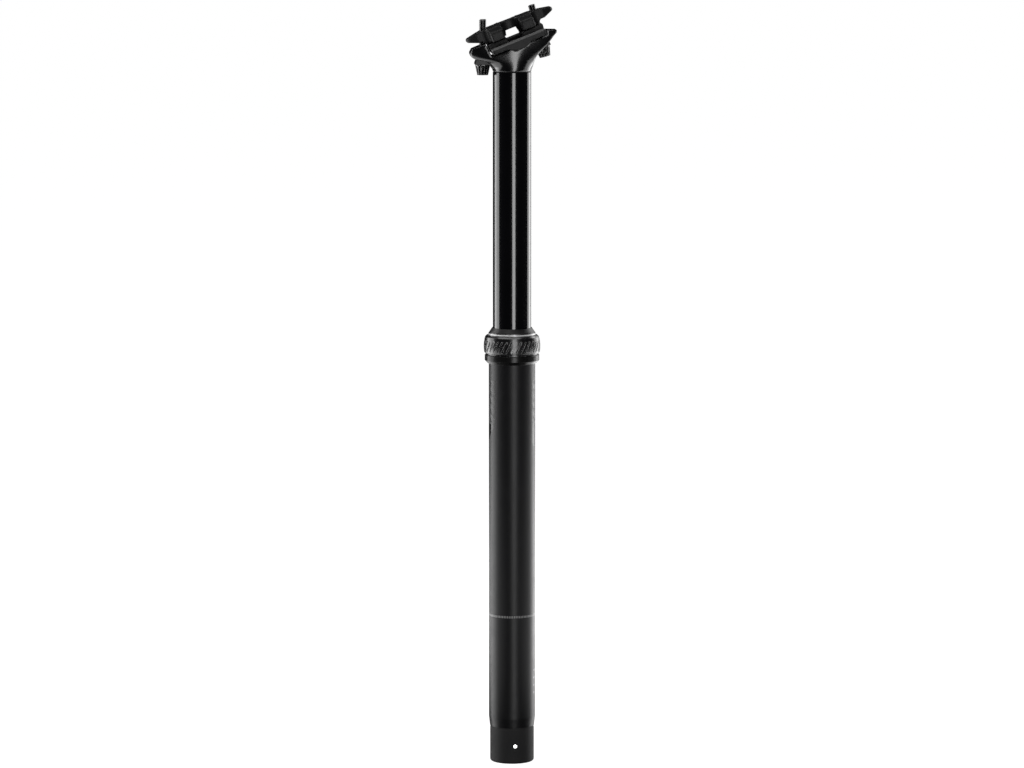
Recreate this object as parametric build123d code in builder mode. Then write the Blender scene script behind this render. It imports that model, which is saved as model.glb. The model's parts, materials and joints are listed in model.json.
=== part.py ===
from build123d import *
from math import atan2, cos, degrees, radians, sin, sqrt, tan
import os

# Dropper seatpost: a seat tube liner with a sliding stanchion, a gas spring with a rod and a valve pin,
# a cable lever in the lower end, and a two-bolt saddle clamp that tilts on the stanchion's head.
# Millimetres. +Z runs up the post, +X points to the bicycle's rear, where the saddle clamp is high,
# and the origin is on the post's axis where the outer tube's plain wall meets its flared top ring.

os.makedirs("parts", exist_ok=True)

# Fits and overruns
running_gap = 0.06
seat_gap = 0.02
rubber_gap = 0.1
overrun = 1.0
edge_break = 0.4

# Travel of the stanchion
travel = 170.0

# Outer tube. A step is how far a wall stands out from the tube's plain wall, or in for the housing
tube_diameter = 31.6
tube_wall = 1.8
tube_length = 249.5
lead_length = 6.4
lead_depth = 0.7
flare_height = 2.3
flare_depth = 0.9
ring_step = 2.7
ring_height = 4.0
spigot_step = 1.1
spigot_height = 10.0
thread_relief = 0.6

# Upper bushing, in the top of the outer tube
upper_bushing_wall = 1.8
upper_bushing_length = 20.0
split_width = 1.2

# Collar with its slanted grip grooves
collar_step = 3.35
collar_top_step = 2.5
collar_bottom_step = 3.0
collar_height = 12.0
collar_neck_step = 1.8
collar_neck_height = 1.0
collar_flange = 1.2
collar_shoulder = 1.0
lip_step = 0.1
lip_height = 2.0
lip_wall = 0.8
flange_bore_gap = 0.6
grip_count = 36
grip_length = 8.4
grip_width = 1.1
grip_depth = 0.55
grip_lean = 27.0
grip_offset = 5.1

# Wiper
wiper_flare = 3.0
wiper_edge = 0.5
wiper_seat = 0.3

# Stanchion, which the step of the bushings keeps clear of the outer tube
bushing_step = 1.0
stanchion_wall = 1.7
stanchion_top = 197.8

# Guide keys
key_count = 3
key_length = 20.0
key_width = 3.0
key_height = 2.7
key_depth = 1.0
key_rise = 3.0

# Lower bushing
lower_bushing_length = 20.0
lower_bushing_depth = 0.6
lower_bushing_lip = 1.0

# Gas spring cartridge
cartridge_gap = 0.3
cartridge_wall = 1.2
cartridge_plug_length = 8.0
rod_guide_length = 18.0
clip_height = 1.2
clip_depth = 0.5
clip_inset = 6.4
clip_wall = 1.3
clip_opening = 7.0
seal_height = 3.0
seal_depth = 1.8
seal_inset = 4.0
rod_diameter = 10.0
rod_tip_diameter = 8.0
piston_length = 12.0
piston_ring_height = 2.5
piston_ring_depth = 1.6
topout_height = 3.0
topout_gap = 0.9

# Rod's lower end, release pin and valve spring
rod_flange_diameter = 15.0
rod_flange_height = 3.0
rod_stub = 1.5
release_pin_diameter = 3.0
plunger_diameter = 5.0
plunger_length = 4.0
plunger_stick_out = 4.2
spring_length = 9.5
spring_wire = 0.5
spring_turns = 6

# Actuator housing at the bottom of the outer tube
housing_step = 0.8
housing_length = 24.8
housing_shoulder = 1.6
housing_foot = 1.5
housing_spigot_length = 11.0
floor_thickness = 8.0
nut_pocket_diameter = 17.2
nut_pocket_height = 6.2
nut_width = 14.0
nut_height = 4.5
bumper_height = 3.8
bumper_wall = 2.2
bottom_gap = 0.1
slot_width = 8.6
slot_front = 7.4
slot_wall = 2.0
slot_floor = 5.5
window_rear = 5.0
ferrule_diameter = 5.2
ferrule_depth = 4.0
inner_cable_diameter = 2.4

# Actuator lever, its pivot pin and the cable's barrel
pivot_offset = 1.2
pivot_drop = 12.6
pivot_diameter = 3.0
pivot_inset = 0.7
pivot_sink_diameter = 4.4
lever_thickness = 7.6
cam_offset = 3.0
cam_rise = 1.0
hub_radius = 3.4
barrel_inset = 6.0
arm_rise = 1.2
arm_end_radius = 3.4
arm_slot_width = 2.6
arm_slot_depth = 6.4
barrel_diameter = 5.0
cable_hole_diameter = 1.8
set_screw_diameter = 3.0
set_screw_length = 2.4
set_screw_socket = 1.5

# Saddle clamp's place: the cradle tilts about a line across the post's axis, and the clamp's own
# origin is ahead of that line and above it
clamp_tilt = 21.2
tilt_axis_rise = 28.9
clamp_forward = 1.0
clamp_lift = 2.6
rail_diameter = 7.0
rail_spacing = 44.0
rail_drop = 7.0
clamp_half_width = 26.8
clamp_corner = 1.5

# Lower cradle
cradle_half_length = 19.4
cradle_foot_length = 18.9
cradle_underside = 13.0
cradle_ridge = 6.2
cradle_lip = 9.2
cradle_radius = 13.5
cradle_window = 10.6
ridge_half_width = 17.0
cradle_slot_width = 7.2
cradle_slot_start = 11.6
cradle_notch_start = 17.2

# Upper clamp
block_half_length = 15.2
block_top = 1.5
block_underside = 4.8
block_round = 1.8
block_corner = 1.0
bite_half_length = 6.4
bite_round = 5.6
spine_half_width = 5.0
spine_half_length = 4.6
spine_top = 4.3
spine_underside = 1.9
arch_top_length = 7.6
arch_foot_length = 9.0
wing_reach = 30.9
wing_half_width = 9.5
wing_tip_half_width = 6.4
wing_tip_round = 4.5
wing_root_fillet = 4.4
wing_root_underside = 5.1
wing_shoulder = 8.6
wing_top = 3.8
wing_tip_top = 2.1
wing_tip_underside = 0.8
wing_tip_length = 1.3
wing_belly = 23.8
wing_underside = 3.0

# Clamp bolts with fluted heads, barrel nuts and half-round washers
bolt_diameter = 5.0
front_bolt_length = 30.3
rear_bolt_length = 29.0
bolt_head_top_diameter = 10.4
bolt_head_foot_diameter = 7.4
bolt_head_height = 7.2
bolt_head_rim = 0.9
bolt_socket_width = 4.0
bolt_socket_depth = 3.2
flute_count = 12
flute_diameter = 1.4
nut_gap = 0.1
trough_clearance = 0.25
bolt_room = 1.2
barrel_nut_diameter = 8.0
barrel_nut_length = 16.0
nut_rise = 1.6
nut_flat = 1.9
half_washer_diameter = 10.8
half_washer_length = 14.0
front_nut_reach = 18.6
rear_nut_reach = 18.2
front_seat_reach = 19.8
front_seat_height = 4.9
rear_seat_reach = 20.5
rear_seat_height = 16.9

# Stanchion head: a fork on an oval column. The column's shares are heights of the rear arm's top, and the
# front, rear and side reaches of each section in stanchion radii. The curve shares follow each arm's underside,
# as shares of its overhang past the stanchion and of its height
head_spigot_length = 18.0
head_half_depth = 13.7
column_shares = (
    (0, 1, 1, 1),
    (0.07, 1.045, 1.03, 1.004),
    (0.177, 1.36, 1.17, 1.015),
    (0.283, 2.2, 1.48, 1.03),
    (0.46, 2.75, 2.1, 1.04),
    (0.707, 3.05, 2.8, 1.05),
    (1.05, 3.25, 3.4, 1.05),
)
front_arm_overhang = 15.5
front_arm_top = 15.5
front_arm_underside = 8.9
front_arm_nose = 12.3
front_curve_shares = ((0.062, 0.2), (0.176, 0.54), (0.298, 0.74), (0.489, 0.88), (0.761, 0.935), (0.853, 1))
nose_top_share = 0.915
rear_arm_overhang = 16.5
rear_arm_top = 28.3
rear_arm_nose = 26.5
rear_curve_shares = ((1, 1), (0.642, 0.72), (0.249, 0.455), (0.085, 0.24), (0.029, 0.08))
front_arm_round = 1.6
rear_arm_round = 3.0
trough_gap = 1.6
trough_round = 2.6
rim_break = 0.35
wall_foot_gap = 0.9
wall_lean = 7.0
arm_slot_length = 7.6
arm_slot_width = 6.2
head_pocket_gap = 0.7

# Sizes that follow
tube_bore = tube_diameter - 2 * tube_wall
ring_diameter = tube_diameter + 2 * ring_step
spigot_diameter = tube_diameter + 2 * spigot_step
collar_diameter = tube_diameter + 2 * collar_step
collar_top_diameter = tube_diameter + 2 * collar_top_step
collar_bottom_diameter = tube_diameter + 2 * collar_bottom_step
collar_neck_diameter = tube_diameter + 2 * collar_neck_step
lip_diameter = tube_diameter + 2 * lip_step
stanchion_diameter = tube_bore - 2 * bushing_step
stanchion_radius = stanchion_diameter / 2
stanchion_bore = stanchion_diameter - 2 * stanchion_wall
housing_diameter = tube_diameter - 2 * housing_step
housing_top = -tube_length + housing_spigot_length
housing_foot_z = -tube_length - housing_length
stanchion_foot = housing_top + bumper_height + bottom_gap + travel
ring_top = flare_height + ring_height
spigot_top = ring_top + spigot_height
upper_bushing_foot = spigot_top - upper_bushing_length
upper_bushing_radius = stanchion_radius + running_gap + upper_bushing_wall
keyway_radius = stanchion_radius - key_depth + key_height + running_gap
collar_foot = ring_top + collar_neck_height
collar_top = collar_foot + collar_height
lip_top = collar_top + lip_height
cartridge_radius = stanchion_bore / 2 - cartridge_gap
cartridge_bore = 2 * (cartridge_radius - cartridge_wall)
cartridge_foot = stanchion_foot + clip_inset + clip_height
cartridge_top = stanchion_top - head_spigot_length
guide_top = cartridge_foot + rod_guide_length
piston_foot = guide_top + topout_height + seat_gap
floor_foot = housing_top - floor_thickness
rod_foot = floor_foot - nut_height - seat_gap - rod_stub
pivot_z = -tube_length - pivot_drop
plunger_foot = rod_foot - plunger_stick_out
cam_radius = plunger_foot - (pivot_z + cam_rise)
barrel_x = housing_diameter / 2 - barrel_inset
slot_rear = housing_diameter / 2 - slot_wall
barrel_z = pivot_z + arm_rise


# A washer-like ring about the post's axis, from one height to another
def ring_between(inner_radius, outer_radius, low, high):
    with BuildPart() as ring:
        with BuildSketch(Plane.XY.offset(low)):
            Circle(outer_radius)
            Circle(inner_radius, mode=Mode.SUBTRACT)
        extrude(amount=high - low)
    return ring.part


# Outer tube: plain wall, lead-in taper, flared ring, threaded spigot and three inner keyways
with BuildPart() as outer_tube:
    with BuildSketch(Plane.XZ):
        with BuildLine():
            Polyline(
                (tube_bore / 2, -tube_length),
                (tube_diameter / 2 - lead_depth, -tube_length),
                (tube_diameter / 2, -tube_length + lead_length),
                (tube_diameter / 2, 0),
                (tube_diameter / 2 + flare_depth, flare_depth / 2),
                (ring_diameter / 2, flare_height),
                (ring_diameter / 2, ring_top - edge_break),
                (ring_diameter / 2 - edge_break, ring_top),
                (spigot_diameter / 2 - thread_relief, ring_top),
                (spigot_diameter / 2 - thread_relief, ring_top + overrun),
                (spigot_diameter / 2, ring_top + overrun + thread_relief),
                (spigot_diameter / 2, spigot_top - edge_break),
                (spigot_diameter / 2 - edge_break, spigot_top),
                (upper_bushing_radius + seat_gap, spigot_top),
                (upper_bushing_radius + seat_gap, upper_bushing_foot),
                (tube_bore / 2, upper_bushing_foot),
                close=True,
            )
        make_face()
    revolve(axis=Axis.Z)
    with BuildSketch(Plane.XY.offset(-tube_length)):
        with PolarLocations((stanchion_radius + keyway_radius) / 2, key_count):
            Rectangle(keyway_radius - stanchion_radius, key_width + 2 * running_gap)
    extrude(amount=tube_length + upper_bushing_foot, mode=Mode.SUBTRACT)
outer_tube.part.label = "outer_tube"
export_step(outer_tube.part, "parts/outer_tube.step")


# Upper bushing: a split plastic ring that the stanchion runs in
with BuildPart() as upper_bushing:
    add(ring_between(stanchion_radius + running_gap, upper_bushing_radius, upper_bushing_foot, spigot_top))
    with Locations((0, upper_bushing_radius, (upper_bushing_foot + spigot_top) / 2)):
        Box(split_width, 2 * upper_bushing_wall + overrun, upper_bushing_length + overrun, mode=Mode.SUBTRACT)
upper_bushing.part.label = "upper_bushing"
export_step(upper_bushing.part, "parts/upper_bushing.step")


# Collar: a barrelled ring that screws over the spigot, with slanted grip grooves and a thin top lip
flange_top = spigot_top + collar_flange
flange_bore = stanchion_radius + flange_bore_gap
pocket_radius = lip_diameter / 2 - lip_wall
with BuildPart() as collar:
    with BuildSketch(Plane.XZ):
        with BuildLine():
            Polyline(
                (spigot_diameter / 2 + seat_gap, ring_top),
                (collar_neck_diameter / 2, ring_top),
                (collar_neck_diameter / 2, collar_foot),
                (collar_bottom_diameter / 2 - edge_break, collar_foot),
                (collar_bottom_diameter / 2, collar_foot + edge_break),
            )
            ThreePointArc(
                (collar_bottom_diameter / 2, collar_foot + edge_break),
                (collar_diameter / 2, collar_foot + collar_height / 2),
                (collar_top_diameter / 2, collar_top - collar_shoulder),
            )
            Polyline(
                (collar_top_diameter / 2, collar_top - collar_shoulder),
                (collar_top_diameter / 2 - collar_shoulder, collar_top),
                (lip_diameter / 2, collar_top),
                (lip_diameter / 2, lip_top - edge_break / 2),
                (lip_diameter / 2 - edge_break / 2, lip_top),
                (pocket_radius, lip_top),
                (pocket_radius, flange_top),
                (flange_bore, flange_top),
                (flange_bore, spigot_top),
                (spigot_diameter / 2 + seat_gap, spigot_top),
                (spigot_diameter / 2 + seat_gap, ring_top),
            )
        make_face()
    revolve(axis=Axis.Z)
    with Locations((0, 0, collar_foot + grip_offset)):
        with PolarLocations(collar_diameter / 2, grip_count):
            Box(
                2 * grip_depth,
                grip_width,
                grip_length,
                rotation=(-grip_lean, 0, 0),
                mode=Mode.SUBTRACT,
            )
collar.part.label = "collar"
export_step(collar.part, "parts/collar.step")


# Wiper: a rubber ring in the collar's pocket, with a lip that closes on the stanchion
wiper_bore = stanchion_radius + rubber_gap
with BuildPart() as wiper_seal:
    with BuildSketch(Plane.XZ):
        with BuildLine():
            Polyline(
                (flange_bore, flange_top),
                (pocket_radius - seat_gap, flange_top),
                (pocket_radius - seat_gap, lip_top),
                (pocket_radius + wiper_seat, lip_top),
                (pocket_radius + wiper_seat, lip_top + wiper_seat),
                (wiper_bore + wiper_edge, lip_top + wiper_flare),
                (wiper_bore, lip_top + wiper_flare),
                (wiper_bore, lip_top + wiper_seat),
                (flange_bore, lip_top - wiper_seat),
                close=True,
            )
        make_face()
    revolve(axis=Axis.Z)
wiper_seal.part.label = "wiper_seal"
export_step(wiper_seal.part, "parts/wiper_seal.step")


# Stanchion: a tube with a bushing seat, three key slots and an inner clip groove at its lower end
bushing_seat_foot = stanchion_foot + lower_bushing_lip
bushing_seat_top = bushing_seat_foot + lower_bushing_length
key_foot = bushing_seat_top + key_rise
key_slot_floor = stanchion_radius - key_depth
clip_foot = stanchion_foot + clip_inset
with BuildPart() as stanchion:
    with BuildSketch(Plane.XZ):
        with BuildLine():
            Polyline(
                (stanchion_bore / 2, stanchion_foot),
                (stanchion_radius - edge_break, stanchion_foot),
                (stanchion_radius, stanchion_foot + edge_break),
                (stanchion_radius, bushing_seat_foot),
                (stanchion_radius - lower_bushing_depth, bushing_seat_foot),
                (stanchion_radius - lower_bushing_depth, bushing_seat_top),
                (stanchion_radius, bushing_seat_top),
                (stanchion_radius, stanchion_top - edge_break),
                (stanchion_radius - edge_break, stanchion_top),
                (stanchion_bore / 2, stanchion_top),
                (stanchion_bore / 2, clip_foot + clip_height),
                (stanchion_bore / 2 + clip_depth, clip_foot + clip_height),
                (stanchion_bore / 2 + clip_depth, clip_foot),
                (stanchion_bore / 2, clip_foot),
                close=True,
            )
        make_face()
    revolve(axis=Axis.Z)
    with BuildSketch(Plane.XY.offset(key_foot)):
        with PolarLocations(key_slot_floor + key_depth, key_count):
            Rectangle(2 * key_depth, key_width + 2 * seat_gap)
    extrude(amount=key_length, mode=Mode.SUBTRACT)
stanchion.part.label = "stanchion"
export_step(stanchion.part, "parts/stanchion.step")


# Guide keys: three brass keys with rounded ends that keep the stanchion from turning
for key_number in range(key_count):
    turned = Plane.XY.rotated((0, 0, key_number * 360 / key_count))
    key_plane = Plane(
        origin=turned.x_dir * (key_slot_floor + seat_gap) + Vector(0, 0, key_foot + key_length / 2),
        x_dir=(0, 0, 1),
        z_dir=turned.x_dir,
    )
    with BuildPart() as guide_key:
        with BuildSketch(key_plane):
            RectangleRounded(key_length - 2 * seat_gap, key_width, key_width / 2 - seat_gap)
        extrude(amount=key_height - 2 * seat_gap)
    guide_key.part.label = f"guide_key_{key_number + 1}"
    export_step(guide_key.part, f"parts/guide_key_{key_number + 1}.step")


# Lower bushing: a split plastic ring on the stanchion that runs in the outer tube
with BuildPart() as lower_bushing:
    add(
        ring_between(
            stanchion_radius - lower_bushing_depth + seat_gap,
            tube_bore / 2 - running_gap,
            bushing_seat_foot,
            bushing_seat_top,
        )
    )
    with Locations((0, tube_bore / 2, (bushing_seat_foot + bushing_seat_top) / 2)):
        Box(split_width, 2 * tube_wall + overrun, lower_bushing_length + overrun, mode=Mode.SUBTRACT)
lower_bushing.part.label = "lower_bushing"
export_step(lower_bushing.part, "parts/lower_bushing.step")


# Gas spring body: a tube that hangs from the head and rests on a spring clip
with BuildPart() as cartridge_tube:
    add(ring_between(cartridge_bore / 2, cartridge_radius, cartridge_foot, cartridge_top))
cartridge_tube.part.label = "cartridge_tube"
export_step(cartridge_tube.part, "parts/cartridge_tube.step")

with BuildPart() as cartridge_plug:
    with BuildSketch(Plane.XY.offset(cartridge_top - cartridge_plug_length)):
        Circle(cartridge_bore / 2 - seat_gap)
    extrude(amount=cartridge_plug_length)
    chamfer(cartridge_plug.faces().sort_by(Axis.Z)[0].edges(), edge_break)
cartridge_plug.part.label = "cartridge_plug"
export_step(cartridge_plug.part, "parts/cartridge_plug.step")

rod_radius = rod_diameter / 2
seal_foot = cartridge_foot + seal_inset
with BuildPart() as rod_guide:
    with BuildSketch(Plane.XZ):
        with BuildLine():
            Polyline(
                (rod_radius + running_gap, cartridge_foot),
                (cartridge_bore / 2 - seat_gap, cartridge_foot),
                (cartridge_bore / 2 - seat_gap, guide_top),
                (rod_radius + running_gap, guide_top),
                (rod_radius + running_gap, seal_foot + seal_height),
                (rod_radius + running_gap + seal_depth, seal_foot + seal_height),
                (rod_radius + running_gap + seal_depth, seal_foot),
                (rod_radius + running_gap, seal_foot),
                close=True,
            )
        make_face()
    revolve(axis=Axis.Z)
rod_guide.part.label = "rod_guide"
export_step(rod_guide.part, "parts/rod_guide.step")

with BuildPart() as rod_seal:
    add(
        ring_between(
            rod_radius + rubber_gap,
            rod_radius + running_gap + seal_depth - seat_gap,
            seal_foot + seat_gap,
            seal_foot + seal_height - seat_gap,
        )
    )
rod_seal.part.label = "rod_seal"
export_step(rod_seal.part, "parts/rod_seal.step")

with BuildPart() as topout_bumper:
    add(
        ring_between(
            rod_radius + rubber_gap,
            cartridge_bore / 2 - topout_gap,
            guide_top,
            guide_top + topout_height,
        )
    )
topout_bumper.part.label = "topout_bumper"
export_step(topout_bumper.part, "parts/topout_bumper.step")

with BuildPart() as cartridge_clip:
    add(
        ring_between(
            stanchion_bore / 2 - clip_wall,
            stanchion_bore / 2 + clip_depth - seat_gap,
            clip_foot + seat_gap,
            clip_foot + clip_height,
        )
    )
    with Locations((0, -stanchion_bore / 2, clip_foot + clip_height / 2)):
        Box(clip_opening, 2 * clip_wall + 2 * clip_depth + overrun, 2 * clip_height, mode=Mode.SUBTRACT)
cartridge_clip.part.label = "cartridge_clip"
export_step(cartridge_clip.part, "parts/cartridge_clip.step")


# Rod of the gas spring, screwed to the actuator housing, with its piston, ring and lock nut
pin_bore = release_pin_diameter / 2 + running_gap
plunger_bore = plunger_diameter / 2 + running_gap
plunger_top = plunger_foot + plunger_length
spring_top = plunger_top + spring_length
piston_top = piston_foot + piston_length
with BuildPart() as cartridge_rod:
    with BuildSketch(Plane.XZ):
        with BuildLine():
            Polyline(
                (plunger_bore, rod_foot),
                (rod_radius - edge_break, rod_foot),
                (rod_radius, rod_foot + edge_break),
                (rod_radius, housing_top),
                (rod_flange_diameter / 2, housing_top),
                (rod_flange_diameter / 2, housing_top + rod_flange_height),
                (rod_radius, housing_top + rod_flange_height),
                (rod_radius, piston_foot),
                (rod_tip_diameter / 2, piston_foot),
                (rod_tip_diameter / 2, piston_top + edge_break),
                (pin_bore, piston_top + edge_break),
                (pin_bore, spring_top),
                (plunger_bore, spring_top),
                close=True,
            )
        make_face()
    revolve(axis=Axis.Z)
cartridge_rod.part.label = "cartridge_rod"
export_step(cartridge_rod.part, "parts/cartridge_rod.step")

piston_radius = cartridge_bore / 2 - running_gap
ring_low = piston_foot + piston_length / 2 - piston_ring_height / 2
ring_high = ring_low + piston_ring_height
with BuildPart() as piston:
    with BuildSketch(Plane.XZ):
        with BuildLine():
            Polyline(
                (rod_tip_diameter / 2 + seat_gap, piston_foot),
                (piston_radius - edge_break, piston_foot),
                (piston_radius, piston_foot + edge_break),
                (piston_radius, ring_low),
                (piston_radius - piston_ring_depth, ring_low),
                (piston_radius - piston_ring_depth, ring_high),
                (piston_radius, ring_high),
                (piston_radius, piston_top - edge_break),
                (piston_radius - edge_break, piston_top),
                (rod_tip_diameter / 2 + seat_gap, piston_top),
                close=True,
            )
        make_face()
    revolve(axis=Axis.Z)
piston.part.label = "piston"
export_step(piston.part, "parts/piston.step")

with BuildPart() as piston_ring:
    add(
        ring_between(
            piston_radius - piston_ring_depth + seat_gap,
            piston_radius,
            ring_low + seat_gap,
            ring_high - seat_gap,
        )
    )
piston_ring.part.label = "piston_ring"
export_step(piston_ring.part, "parts/piston_ring.step")

with BuildPart() as rod_nut:
    with BuildSketch(Plane.XY.offset(floor_foot - nut_height)):
        RegularPolygon(nut_width / 2, 6, major_radius=False)
        Circle(rod_radius + seat_gap, mode=Mode.SUBTRACT)
    extrude(amount=nut_height)
rod_nut.part.label = "rod_nut"
export_step(rod_nut.part, "parts/rod_nut.step")


# Valve parts inside the rod: the long release pin with its plunger, and the spring that returns it
with BuildPart() as release_pin:
    with BuildSketch(Plane.XY.offset(plunger_foot)):
        Circle(plunger_diameter / 2)
    extrude(amount=plunger_length)
    with BuildSketch(Plane.XY.offset(plunger_top)):
        Circle(release_pin_diameter / 2)
    extrude(amount=piston_foot - plunger_top)
    chamfer(release_pin.faces().sort_by(Axis.Z)[0].edges(), edge_break)
release_pin.part.label = "release_pin"
export_step(release_pin.part, "parts/release_pin.step")

spring_radius = (release_pin_diameter + plunger_diameter) / 4 + seat_gap
coil_height = spring_length - spring_wire - 2 * seat_gap
with BuildPart() as valve_spring:
    with BuildLine() as coil:
        Helix(
            pitch=coil_height / spring_turns,
            height=coil_height,
            radius=spring_radius,
            center=(0, 0, plunger_top + spring_wire / 2 + seat_gap),
        )
    with BuildSketch(Plane(origin=coil.line @ 0, z_dir=coil.line % 0)):
        Circle(spring_wire / 2)
    sweep(is_frenet=True)
valve_spring.part.label = "valve_spring"
export_step(valve_spring.part, "parts/valve_spring.step")


# Bottom bumper: a rubber ring that the stanchion lands on
with BuildPart() as bottom_bumper:
    add(
        ring_between(
            stanchion_bore / 2,
            stanchion_bore / 2 + bumper_wall,
            housing_top,
            housing_top + bumper_height,
        )
    )
bottom_bumper.part.label = "bottom_bumper"
export_step(bottom_bumper.part, "parts/bottom_bumper.step")


# Actuator housing: a cap screwed into the outer tube, slotted for the lever and bored for the cable
slot_top = floor_foot - nut_pocket_height
slot_foot = housing_foot_z + slot_floor
with BuildPart() as actuator_housing:
    with BuildSketch(Plane.XZ):
        with BuildLine():
            Polyline(
                (0, housing_foot_z),
                (housing_diameter / 2 - housing_foot, housing_foot_z),
            )
            RadiusArc(
                (housing_diameter / 2 - housing_foot, housing_foot_z),
                (housing_diameter / 2, housing_foot_z + housing_foot),
                -housing_foot,
            )
            Polyline(
                (housing_diameter / 2, housing_foot_z + housing_foot),
                (housing_diameter / 2, -tube_length - housing_shoulder),
                (housing_diameter / 2 - edge_break, -tube_length),
                (tube_bore / 2 - seat_gap, -tube_length),
                (tube_bore / 2 - seat_gap, housing_top - edge_break),
                (tube_bore / 2 - seat_gap - edge_break, housing_top),
                (0, housing_top),
                (0, housing_foot_z),
            )
        make_face()
    revolve(axis=Axis.Z)
    with BuildSketch(Plane.XY.offset(slot_top)):
        Circle(nut_pocket_diameter / 2)
    extrude(amount=nut_pocket_height, mode=Mode.SUBTRACT)
    with BuildSketch(Plane.XY.offset(floor_foot)):
        Circle(rod_radius + seat_gap)
    extrude(amount=floor_thickness, mode=Mode.SUBTRACT)
    with BuildSketch(Plane.XY.offset(slot_foot)):
        with Locations(((slot_rear - slot_front) / 2, 0)):
            Rectangle(slot_rear + slot_front, slot_width)
    extrude(amount=slot_top - slot_foot, mode=Mode.SUBTRACT)
    with BuildSketch(Plane.XY.offset(housing_foot_z)):
        with Locations(((window_rear - slot_front) / 2, 0)):
            Rectangle(window_rear + slot_front, slot_width)
        with Locations((barrel_x, 0)):
            Circle(inner_cable_diameter / 2)
    extrude(amount=slot_floor, mode=Mode.SUBTRACT)
    with BuildSketch(Plane.XY.offset(housing_foot_z)):
        with Locations((barrel_x, 0)):
            Circle(ferrule_diameter / 2)
    extrude(amount=ferrule_depth, mode=Mode.SUBTRACT)
    with BuildSketch(Plane.XZ.offset(-housing_diameter / 2)):
        with Locations((pivot_offset, pivot_z)):
            Circle(pivot_diameter / 2 + seat_gap)
    extrude(amount=housing_diameter, mode=Mode.SUBTRACT)
    pin_face = sqrt((housing_diameter / 2) ** 2 - pivot_offset**2)
    for side in (-1, 1):
        with Locations(Location((pivot_offset, side * pin_face, pivot_z), (90 * side, 0, 0))):
            Cylinder(pivot_sink_diameter / 2, 2 * pivot_inset, mode=Mode.SUBTRACT)
actuator_housing.part.label = "actuator_housing"
export_step(actuator_housing.part, "parts/actuator_housing.step")

with BuildPart() as pivot_pin:
    with BuildSketch(Plane.XZ.offset(pin_face - pivot_inset)):
        with Locations((pivot_offset, pivot_z)):
            Circle(pivot_diameter / 2)
    extrude(amount=-2 * (pin_face - pivot_inset))
    chamfer(pivot_pin.edges().filter_by(GeomType.CIRCLE), edge_break / 2)
pivot_pin.part.label = "pivot_pin"
export_step(pivot_pin.part, "parts/pivot_pin.step")


# Actuator lever: a cam under the plunger and a forked arm that holds the cable's barrel
with BuildPart() as actuator_lever:
    with BuildSketch(Plane.XZ.offset(-lever_thickness / 2)):
        with Locations((pivot_offset - cam_offset, pivot_z + cam_rise)):
            Circle(cam_radius)
        with Locations((pivot_offset, pivot_z)):
            Circle(hub_radius)
        with BuildLine():
            Polyline(
                (pivot_offset, pivot_z + hub_radius),
                (barrel_x, barrel_z + arm_end_radius),
                (barrel_x, barrel_z - arm_end_radius),
                (pivot_offset, pivot_z - hub_radius),
                close=True,
            )
        make_face()
        with Locations((barrel_x, barrel_z)):
            Circle(arm_end_radius)
        with Locations((barrel_x, barrel_z)):
            Circle(barrel_diameter / 2 + running_gap, mode=Mode.SUBTRACT)
        with Locations((pivot_offset, pivot_z)):
            Circle(pivot_diameter / 2 + running_gap, mode=Mode.SUBTRACT)
    extrude(amount=lever_thickness)
    arm_slot_centre = barrel_x + arm_end_radius - arm_slot_depth / 2 + overrun / 2
    with Locations((arm_slot_centre, 0, barrel_z)):
        Box(arm_slot_depth + overrun, arm_slot_width, 2 * arm_end_radius + overrun, mode=Mode.SUBTRACT)
actuator_lever.part.label = "actuator_lever"
export_step(actuator_lever.part, "parts/actuator_lever.step")

with BuildPart() as cable_barrel:
    with BuildSketch(Plane.XZ.offset(-lever_thickness / 2)):
        with Locations((barrel_x, barrel_z)):
            Circle(barrel_diameter / 2)
    extrude(amount=lever_thickness)
    with BuildSketch(Plane.XY.offset(barrel_z - barrel_diameter / 2)):
        with Locations((barrel_x, 0)):
            Circle(cable_hole_diameter / 2)
    extrude(amount=barrel_diameter, mode=Mode.SUBTRACT)
    with BuildSketch(Plane.XZ.offset(lever_thickness / 2)):
        with Locations((barrel_x, barrel_z)):
            Circle(set_screw_diameter / 2 + seat_gap)
    extrude(amount=-set_screw_length, mode=Mode.SUBTRACT)
cable_barrel.part.label = "cable_barrel"
export_step(cable_barrel.part, "parts/cable_barrel.step")

with BuildPart() as cable_set_screw:
    with BuildSketch(Plane.XZ.offset(lever_thickness / 2)):
        with Locations((barrel_x, barrel_z)):
            Circle(set_screw_diameter / 2)
    extrude(amount=-set_screw_length)
    with BuildSketch(Plane.XZ.offset(lever_thickness / 2)):
        with Locations((barrel_x, barrel_z)):
            RegularPolygon(set_screw_socket / 2, 6, major_radius=False)
    extrude(amount=-set_screw_length / 2, mode=Mode.SUBTRACT)
cable_set_screw.part.label = "cable_set_screw"
export_step(cable_set_screw.part, "parts/cable_set_screw.step")


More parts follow.
